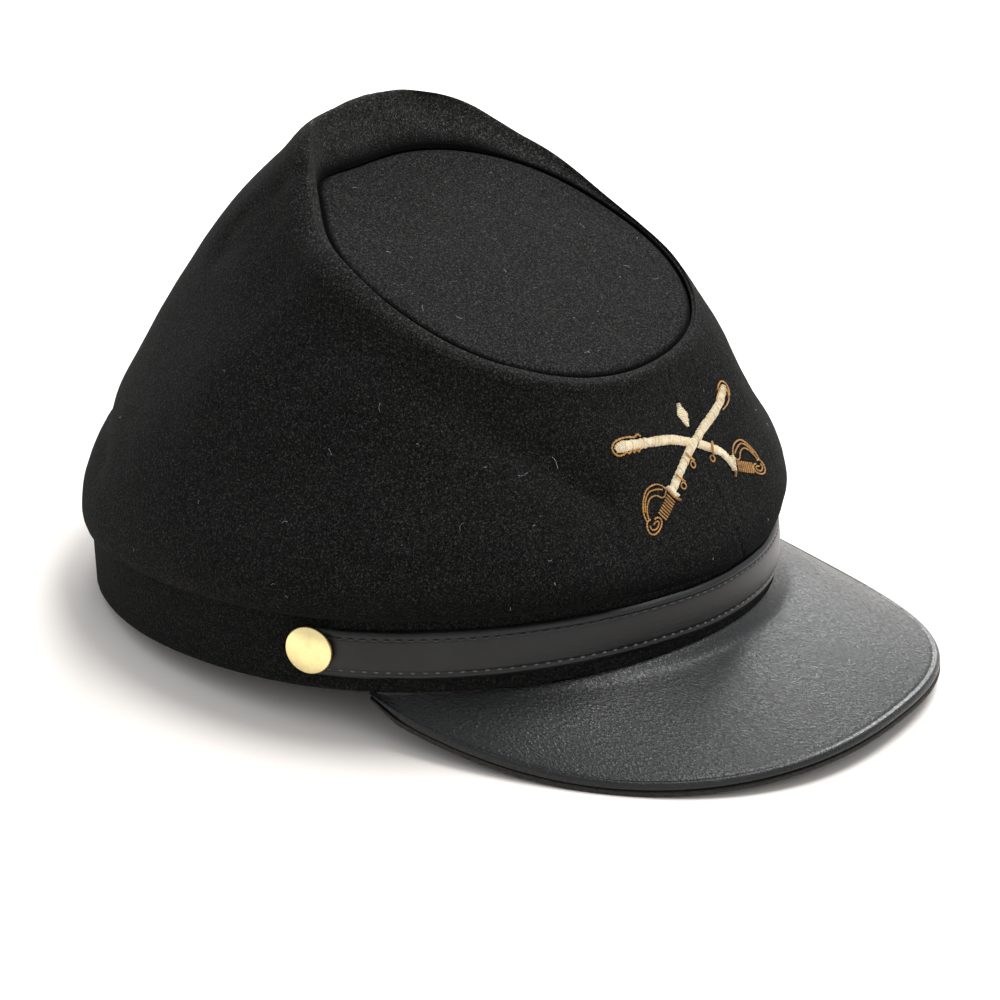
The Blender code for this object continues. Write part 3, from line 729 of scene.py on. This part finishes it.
class KEPI_OT_top(bpy.types.Operator):
    """Make the sunken oval top, slightly domed and soft, its edge turned down into the seam"""
    bl_idname = "kepi.top"
    bl_label = "Oval top"

    def execute(self, context):
        look = context.scene.kepi_cloth
        angle = turns(240)
        edge_shares = [0.943, 0.955, 0.965, 0.973, 0.981, 0.988, 0.994, 0.999, 1.003, 1.006]
        share = np.concatenate([np.linspace(0.02, 0.93, 56), edge_shares])
        edge = np.clip((share - 0.962) / 0.044, 0, 1)
        lift = TOP_DOME * (1 - share**2) - 0.0013 * edge**2
        turn, s = np.meshgrid(angle, share)
        over = top_oval(turn, s, lift[:, None] + 0 * turn)
        soft = lumps(over, 0.021, 8) * 0.45 + lumps(over, 0.0085, 9) * 0.16
        rim = 0.12 * hump(s - 0.91, 0.04)
        over = over + ((soft + rim) * np.clip((1 - s) / 0.06, 0, 1))[..., None] * MM * TOP_UP
        under = np.stack([top_oval(angle, k, -TOP_THICKNESS + TOP_DOME * (1 - k * k))
                          for k in (1.0, 0.97, 0.6, 0.2)])
        # The top's wool: the cloth's colours made lighter, painted light for the top that faces the lamps,
        # with painted shade in its seam
        piece("top_cloth", [(np.concatenate([over, under]), True, False, True)],
              wool("top_wool", times(look.dark, 1.8), times(look.light, 1.65), times(look.nap, 1.5),
                   (0.848, 0.892)),
              ["top_disc"])
        return {"FINISHED"}


class KEPI_OT_band(bpy.types.Operator):
    """Make the head band of doubled cloth with soft folded edges"""
    bl_idname = "kepi.band"
    bl_label = "Band"

    def execute(self, context):
        look = context.scene.kepi_cloth
        angle = turns(300)
        half = BAND_WALL / 2
        fold = [(-half + half * math.cos(t), half + half * math.sin(t)) for t in np.linspace(-math.pi, 0, 9)]
        rise = np.linspace(0.12, 1, 14) * (BAND_HEIGHT - half) + half
        section = fold + [(0, z) for z in rise] + [(-BAND_WALL, z) for z in rise[::-1]]
        grid = np.stack([band_oval(angle, o, z) for o, z in section])
        out = unit(grid * (1, 1, 0))
        face = np.array([[o > -half] for o, z in section])
        grid = grid + (lumps(grid, 0.009, 12) * 0.1 * MM * face)[..., None] * out
        piece("band_cloth", [(grid, True, True, False)],
              wool("band_wool", times(look.dark, 0.9), times(look.light, 0.85), times(look.nap, 0.7), ()),
              ["band"])
        return {"FINISHED"}


class KEPI_OT_peak(bpy.types.Operator):
    """Make the peak of two leather layers with a rounded lip and the groove behind it"""
    bl_idname = "kepi.peak"
    bl_label = "Peak"

    def layer(self, name, top, thickness, groove, finish, slot, node):
        """Section of a layer: out along its top, round the lip by a half circle and back underneath."""
        turn = np.radians(np.concatenate([[-89.8, -89.2, -88.4], np.linspace(-87.4, 87.4, 221),
                                          [88.4, 89.2, 89.8]]))
        half = thickness / 2
        back = 1 - np.concatenate([np.linspace(0, 0.10, 14)[:-1], np.linspace(0.10, 0.86, 28),
                                   np.linspace(0.87, 0.985, 26)])
        lip = np.linspace(0.25, math.pi - 0.25, 9)
        inset = np.concatenate([back, 0.013 * (1 - np.sin(lip)), back[::-2]])
        depth = np.concatenate([0 * back, half * (1 - np.cos(lip)), 0 * back[::-2] + thickness])
        t, s = np.meshgrid(turn, inset, indexing="ij")
        down = np.broadcast_to(depth, t.shape)
        grid = peak_cloth(t, s, down + top, groove)
        piece(name, [(grid, True, False, True)], finish, [node])

    def execute(self, context):
        look = context.scene.kepi_leather
        upper = grained_leather("peak_leather", look.dark, look.light, 2000, 0.20, 0.00010)
        under = grained_leather("peak_under_leather", (0.006, 0.0055, 0.005), (0.012, 0.0108, 0.0095), 1300,
                                0.5, 0.0001)
        self.layer("peak_upper", 0.0, PEAK_UPPER, look.groove, upper, "peak_leather", "peak")
        self.layer("peak_lower", PEAK_UPPER + GAP, PEAK_UNDER, 0.0, under, "peak_under_leather",
                   "peak_underlay")
        return {"FINISHED"}


def strap_half(angle):
    """Half width of the strap: constant, then a circle over its rounded end."""
    half = STRAP_WIDTH / 2
    end = np.maximum(0, (np.abs(angle) - STRAP_REACH) * BAND_HALF_WIDTH + half) / half
    return half * np.sqrt(np.maximum(1 - end**2, 0.02))


def strap_face(angle, across):
    """Outer face of the strap: cushioned, its edges turned over, with a stitched groove inside each."""
    z = across * STRAP_WIDTH / 2
    proud = 1 - 0.34 * np.abs(across) ** 9 - 0.32 * across**2 + 0.14 * hump(np.abs(across) - 0.84, 0.12)
    sunk = 0.24 * MM * hump(np.abs(z) - 4.5 * MM, 0.42 * MM)
    ripple = lumps(np.stack([angle * 0.09, across * 0.002, 0 * angle], -1), 0.016, 21)
    sag = 0.6 * MM * hump(np.abs(angle) - 1.0, 0.40) * np.clip(-across, 0, 1)
    height = STRAP_RAISE + across * strap_half(angle) + 0.15 * MM * ripple - sag
    return band_oval(angle, GAP + STRAP_THICKNESS * proud - sunk, height)


class KEPI_OT_strap(bpy.types.Operator):
    """Make the chin strap round the front from button to button, with its two rows of stitches"""
    bl_idname = "kepi.strap"
    bl_label = "Chin strap"

    def execute(self, context):
        look = context.scene.kepi_leather
        ends = 1 - 0.1 * (1 - np.sin(np.linspace(0, math.pi / 2, 14))[::-1]) ** 1.5
        share = np.concatenate([-ends, np.linspace(-0.89, 0.89, 361), ends[::-1]])
        angle = np.sort(share) * STRAP_REACH
        across = np.linspace(-1, 1, 49)
        face = strap_face(*np.meshgrid(angle, across, indexing="ij"))
        half, soft = strap_half(angle), 0.0004
        section = ((GAP + soft, 1.0), (GAP, 0.93), (GAP, 0.4), (GAP, -0.4), (GAP, -0.93), (GAP + soft, -1.0))
        back = np.stack([band_oval(angle, o, STRAP_RAISE + half * k) for o, k in section], 1)
        leather = smooth_leather("strap_leather", look.dark, look.light, 0.24)
        piece("strap_leather", [(np.concatenate([face, back], 1), True, False, True)], leather,
              ["chin_strap"])
        count = int(2 * (STRAP_REACH * BAND_HALF_WIDTH - 0.007) / look.pitch)
        middle = (np.arange(count) - (count - 1) / 2) * look.pitch / BAND_HALF_WIDTH
        step = np.linspace(-1, 1, 9)
        for name, row, colour, long in (("strap_stitches_upper", 0.67, (0.012, 0.012, 0.012), 0.33),
                                        ("strap_stitches_lower", -0.67, (0.10, 0.10, 0.10), 0.17)):
            a = middle[:, None] + step * look.pitch * long / BAND_HALF_WIDTH
            face = strap_face(a, 0 * a + row)
            out = unit(face * (1, 1, 0))
            sink = 0.10 * MM - 0.42 * MM * np.abs(step) ** 3
            paths = face + out * sink[None, :, None]
            tubes = threads(paths, out, 0.26 * MM * np.sqrt(1 - 0.75 * step**8)[None])
            piece(name, each(tubes), thread(name, colour, times(colour, 0.5), 2600))
        return {"FINISHED"}


class KEPI_OT_buttons(bpy.types.Operator):
    """Turn the two side buttons: rolled rim, domed face, post and post head"""
    bl_idname = "kepi.buttons"
    bl_label = "Side buttons"

    def execute(self, context):
        look = context.scene.kepi_trim
        metal = brass("button_brass", look.brass, (0.36, 0.20, 0.07))
        inside, foot = -BAND_WALL - GAP, GAP + STRAP_THICKNESS + GAP
        r, roll = BUTTON_RADIUS, 0.00095
        head = [(POST_HEAD_RADIUS - 0.0003, inside - POST_HEAD_HEIGHT),
                (POST_HEAD_RADIUS, inside - POST_HEAD_HEIGHT + 0.0002), (POST_HEAD_RADIUS, inside),
                (POST_RADIUS, inside), (POST_RADIUS, foot), (r * 0.80, foot)]
        rim = [(r - roll + roll * math.sin(t), foot + roll - roll * math.cos(t))
               for t in np.linspace(0.3, 2.1, 12)]
        edge = r - roll + roll * math.sin(2.1)
        rise = foot + roll - roll * math.cos(2.1)
        dome = [(edge * k, rise + 0.00012 + (BUTTON_HEIGHT - 0.0018) * (1 - k**2.2))
                for k in (0.985, *np.linspace(0.96, 0.02, 22))]
        profile = np.array(head + rim + dome)
        turn = turns(96)
        for name, angle in (("side_button_left", BUTTON_ANGLE), ("side_button_right", -BUTTON_ANGLE)):
            at = band_oval(np.array(angle), 0, STRAP_RAISE + BUTTON_RAISE)
            step = band_oval(np.array(angle + 1e-3), 0, 0) - band_oval(np.array(angle - 1e-3), 0, 0)
            axis = unit(np.array([step[1], -step[0], 0]))
            side, up = np.cross(axis, (0, 0, 1)), np.array([0, 0, 1])
            circle = side * np.cos(turn)[:, None] + up * np.sin(turn)[:, None]
            grid = at + axis * profile[:, 1][:, None, None] + circle * profile[:, 0][:, None, None]
            piece(f"{name}_brass", [(grid, True, False, True)], metal, [name], crease=38)
        return {"FINISHED"}


def along(table, count):
    """Angle, rise and half width at evenly spaced places along a table's line, and the crown there."""
    rows = np.array(table, float)
    place = np.linspace(0, len(rows) - 1, 400)
    line = between(rows, place)
    spot = crown_cloth(np.radians(line[:, 0]), line[:, 1])
    far = np.concatenate([[0], np.cumsum(np.linalg.norm(np.diff(spot, axis=0), axis=1))])
    place = np.interp(np.linspace(0, far[-1], count), far, place)
    line = between(rows, place)
    angle, rise = np.radians(line[:, 0]), line[:, 1]
    return crown_cloth(angle, rise), outward(crown_form, angle, rise), line[:, 2] * MM, far[-1]


def satin(table, strand, raised, seed):
    """Satin stitches across a line: threads arched from side to side, packed closely over a padding."""
    length = along(table, 2)[3]
    count = int(length / (strand * 2.3))
    centre, normal, half, _ = along(table, count)
    ahead = unit(np.gradient(centre, axis=0))
    side = unit(np.cross(normal, ahead))
    random = np.random.default_rng(seed)
    jitter = random.uniform(-1, 1, (3, count))
    u = np.linspace(-1, 1, 11)
    reach = half * (1 + 0.12 * jitter[0])
    arch = raised * np.sqrt(1 - np.abs(u) ** 2.6 * 0.97) - 0.0001
    paths = (centre[:, None] + side[:, None] * (reach[:, None] * u)[..., None]
             + normal[:, None] * (arch * (1 + 0.22 * jitter[1][:, None]))[..., None]
             + ahead[:, None] * ((0.22 * half + 0.05 * MM * jitter[2])[:, None] * u)[..., None])
    tubes = each(threads(paths, np.broadcast_to(normal[:, None], paths.shape), strand, 6))
    section = np.array([(-0.95, -0.1), (-0.8, 0.4), (-0.45, 0.75), (0, 0.85), (0.45, 0.75), (0.8, 0.4),
                        (0.95, -0.1)])
    pad = (centre[:, None] + side[:, None] * (half[:, None] * section[:, 0])[..., None]
           + normal[:, None] * (raised * section[:, 1])[:, None])
    return tubes + [(pad, True, False, True)]


def couched(places, radius, lift, count=64, wave=0.0):
    """A thick thread laid along places on the crown: a tube that swells between the stitches that hold it."""
    rows = np.array(places, float)
    line = between(rows, np.linspace(0, len(rows) - 1, count))
    angle, rise = np.radians(line[:, 0]), line[:, 1]
    normal = outward(crown_form, angle, rise)
    path = crown_cloth(angle, rise) + normal * lift
    beads = 1 + wave * np.sin(np.linspace(0, count * 1.3, count))
    return each(threads(path[None], normal[None], radius * beads[None]))


def flat_to_crown(drawing, start, towards, side):
    """Places a flat drawing on the crown, in millimetres: along towards a place, across square to it."""
    start, towards = np.array(start, float), np.array(towards, float)
    scale = np.array(CROWN_SCALE)
    ahead = unit((towards - start) * scale)
    across = np.array([-ahead[1], ahead[0]]) * side
    flat = np.array(drawing, float)
    return start + (flat[:, :1] * ahead + flat[:, 1:] * across) / scale


def hilt(start, towards, side, radius):
    """A sabre's hilt in laid threads: guard bows, the pommel's loop, a crossguard and the grip's wires."""
    grids = []
    for name, drawing in HILT.items():
        places = flat_to_crown(drawing, start, towards, side)
        thick = radius * (1.5 if name == "crossguard" else 1.0)
        grids += couched(places, thick, radius * (1.9 if name == "crossguard" else 1.0), 90, 0.3)
    for k in range(WIRES):
        s = 2.5 + 1.03 * k
        places = flat_to_crown(((s + 0.25, 1.1), (s, -0.3), (s - 0.4, -1.9)), start, towards, side)
        grids += couched(places, radius * 1.05, radius * 2.2, 20)
    return grids


class KEPI_OT_badge(bpy.types.Operator):
    """Stitch the badge: two crossed sabres with hilts, rings and tips, and a small lozenge above them"""
    bl_idname = "kepi.badge"
    bl_label = "Badge"

    def execute(self, context):
        look = context.scene.kepi_trim
        cream = thread("badge_thread", look.cream, [c * k for c, k in zip(look.cream, (0.72, 0.60, 0.42))],
                       2200)
        gold = thread("badge_gold", look.gold, times(look.gold, 0.22), 3000, 0.38)
        fine = 0.00021
        piece("badge_sabre_over", satin(BLADE_OVER, look.strand, 0.00085, 31), cream,
              ["sabre_over"])
        piece("badge_sabre_under", satin(BLADE_UNDER_LEFT, look.strand, 0.0007, 32)
              + satin(BLADE_UNDER_RIGHT, look.strand, 0.0007, 33), cream,
              ["sabre_under_left", "sabre_under_right"])
        ferrules = []
        for place in (HILT_OVER, HILT_UNDER):
            bar = flat_to_crown(FERRULE, *place)
            ferrules += satin([(a, r, w) for (a, r), w in zip(bar, (0.35, 0.75, 0.45))], look.strand,
                              0.0010, 34)
        piece("badge_ferrules", ferrules, cream)
        laid = hilt(*HILT_OVER, fine) + hilt(*HILT_UNDER, fine)
        laid += couched(TIP_OVER, fine, fine, 90, 0.3)
        laid += couched(TIP_OVER_EDGE, fine, fine, 70, 0.3)
        laid += couched(TIP_UNDER, fine * 1.25, fine, 160, 0.35)
        for angle, rise, blade in RINGS:
            slope = np.array([1.0, -0.018]) if blade == "over" else np.array([-0.9, -0.022])
            bar = np.array([angle, rise]) + np.linspace(-0.65, 0.95, 5)[:, None] * slope
            laid += couched(bar, fine * 1.5, 0.0012, 24)
            turn = np.linspace(0.4, 6.6, 12)[:, None]
            loop = bar[-1] + np.concatenate([0.75 * np.sin(turn), -0.0095 + 0.0095 * np.cos(turn)], 1)
            laid += couched(loop, fine, fine * 1.4, 60, 0.1)
        piece("badge_gold", laid, gold)
        piece("badge_lozenge", satin(LOZENGE, look.strand, 0.0007, 35), cream, ["lozenge"])
        return {"FINISHED"}


class KEPI_OT_lint(bpy.types.Operator):
    """Scatter loose fibres of lint over the cloth"""
    bl_idname = "kepi.lint"
    bl_label = "Lint"

    def execute(self, context):
        count = context.scene.kepi_cloth.lint
        random = np.random.default_rng(77)
        angle, rise = random.uniform(0, 2 * math.pi, count), random.uniform(0.05, 0.9, count)
        spot, normal = crown_cloth(angle, rise), outward(crown_form, angle, rise)
        share = np.sqrt(random.uniform(0.01, 0.85, count))
        on_top = random.uniform(0, 1, count) < 0.3
        spot = np.where(on_top[:, None], top_oval(angle, share, TOP_DOME * (1 - share**2) + 0.0003), spot)
        normal = np.where(on_top[:, None], TOP_UP, normal)
        way = unit(np.cross(normal, random.normal(0, 1, (count, 3))))
        side = np.cross(normal, way)
        t = np.linspace(-1, 1, 6)
        length = 0.0003 + 0.0016 * random.uniform(0, 1, count) ** 3
        bend = random.uniform(-0.5, 0.5, (2, count))
        curve = bend[0][:, None] * t**2 + bend[1][:, None] * t**3
        paths = (spot[:, None] + way[:, None] * (length[:, None] * t)[..., None]
                 + side[:, None] * (length[:, None] * curve)[..., None]
                 + normal[:, None] * (0.00022 + 0.00012 * (1 - t**2))[:, None])
        normals = np.broadcast_to(normal[:, None], paths.shape)
        tubes = threads(paths, normals, 0.000028 + 0.00003 * random.uniform(0, 1, (count, 1)), 4)
        piece("lint", each(tubes), thread("lint", (0.42, 0.42, 0.44), (0.12, 0.12, 0.13), 2000, 0.7))
        return {"FINISHED"}


class KEPI_OT_stage(bpy.types.Operator):
    """Lay the pale floor, hang the soft lights and set the camera"""
    bl_idname = "kepi.stage"
    bl_label = "Stage"

    def execute(self, context):
        look, scene = context.scene.kepi_stage, context.scene
        data = bpy.data.meshes.new("floor")
        data.from_pydata([(x, y, 0.0) for x, y in ((-6, -6), (6, -6), (6, 6), (-6, 6))], [], [(0, 1, 2, 3)])
        data.materials.append(plain("pale_floor", look.floor, 0.75))
        floor = bpy.data.objects.new("floor", data)
        scene.collection.objects.link(floor)

        world = scene.world or bpy.data.worlds.new("studio")
        scene.world = world
        world.use_nodes = True
        sky = world.node_tree.nodes["Background"]
        sky.inputs["Color"].default_value = (0.95, 0.98, 1.0, 1.0)
        sky.inputs["Strength"].default_value = look.sky
        for name, (place, size, share) in LAMPS.items():
            lamp = bpy.data.lights.new(name, "AREA")
            lamp.shape, lamp.size, lamp.energy = "DISK", size, look.key * share
            item = bpy.data.objects.new(name, lamp)
            item.location = place
            item.rotation_euler = (LAMP_AIM - Vector(place)).to_track_quat("-Z", "Y").to_euler()
            scene.collection.objects.link(item)

        lens = bpy.data.cameras.new("camera")
        lens.lens, lens.sensor_width = LENS, SENSOR
        camera = bpy.data.objects.new("camera", lens)
        az, el, roll = (math.radians(v) for v in CAMERA_ANGLES)
        back = Vector((-math.sin(az) * math.cos(el), -math.cos(az) * math.cos(el), math.sin(el)))
        right = Vector((math.cos(az), -math.sin(az), 0))
        up = back.cross(right)
        side = right * math.cos(roll) + up * math.sin(roll)
        top = up * math.cos(roll) - right * math.sin(roll)
        turn = Matrix((side, top, back)).transposed()
        camera.matrix_world = Matrix.Translation(CAMERA_PLACE) @ turn.to_4x4()
        scene.collection.objects.link(camera)
        scene.camera = camera
        scene.view_settings.view_transform = "Standard"
        return {"FINISHED"}


class KEPI_PT_panel(bpy.types.Panel):
    """Lists the kepi's pieces with the sizes and colours they use"""
    bl_idname = "KEPI_PT_panel"
    bl_label = "Kepi"
    bl_space_type = "VIEW_3D"
    bl_region_type = "UI"
    bl_category = "Kepi"

    def draw(self, context):
        for name in GROUPS:
            box = self.layout.box()
            group = getattr(context.scene, name)
            for key in type(group).__annotations__:
                box.prop(group, key)
        for step in STEPS:
            self.layout.operator(step.bl_idname)


GROUPS = {"kepi_cloth": KepiCloth, "kepi_leather": KepiLeather, "kepi_trim": KepiTrim,
          "kepi_stage": KepiStage}
STEPS = (KEPI_OT_stage, KEPI_OT_crown, KEPI_OT_top, KEPI_OT_band, KEPI_OT_peak, KEPI_OT_strap,
         KEPI_OT_buttons, KEPI_OT_badge, KEPI_OT_lint)


def register():
    for item in (*GROUPS.values(), *STEPS, KEPI_PT_panel):
        bpy.utils.register_class(item)
    for name, group in GROUPS.items():
        setattr(bpy.types.Scene, name, PointerProperty(type=group))


def unregister():
    for name in GROUPS:
        delattr(bpy.types.Scene, name)
    for item in (KEPI_PT_panel, *reversed(STEPS), *GROUPS.values()):
        bpy.utils.unregister_class(item)


def main():
    register()
    for step in STEPS:
        getattr(bpy.ops.kepi, step.bl_idname.partition(".")[2])()


if __name__ == "__main__":
    main()
